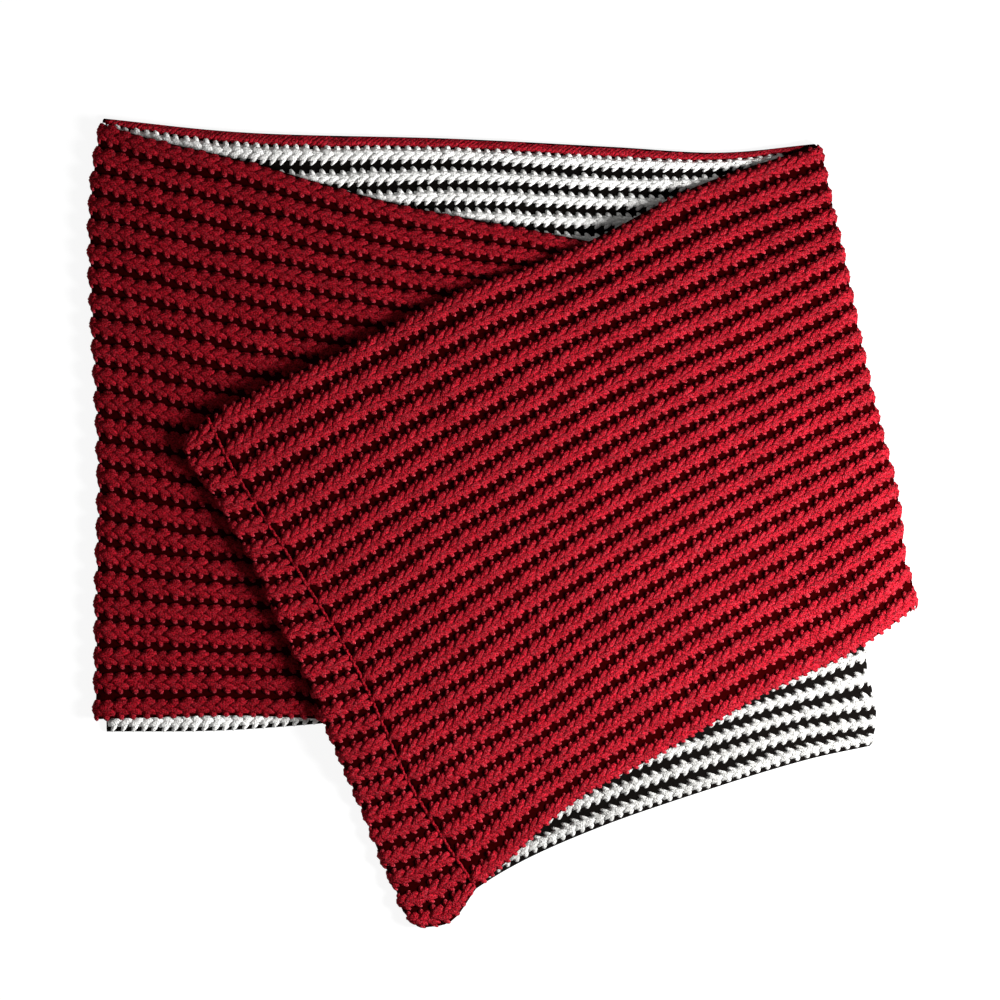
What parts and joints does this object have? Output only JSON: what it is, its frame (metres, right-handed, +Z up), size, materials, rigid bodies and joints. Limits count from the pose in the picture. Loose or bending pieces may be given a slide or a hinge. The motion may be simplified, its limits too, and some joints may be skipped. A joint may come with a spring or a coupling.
{
  "type": "knit scarf",
  "caption": "Loop scarf in coarse rib knit, red on one face and white on the other, laid flat and folded over itself.",
  "frame": {"origin": "on the surface it lies on, under the middle of its outline", "axes": "+X towards the side of the outer fold, +Y towards the rolled rim of the back stretch, +Z up"},
  "size_m": [0.4158, 0.4062, 0.0157],
  "materials": {
    "red_face": "coarse rib knit, crimson ribs over black",
    "white_face": "coarse rib knit, white ribs over black"
  },
  "bodies": {
    "root": {"back_stretch": "white_face", "back_rim": "red_face", "left_stretch": "red_face", "under_stretch": "white_face", "top_stretch": "red_face", "end_band": "red_face"}
  },
  "joints": []
}
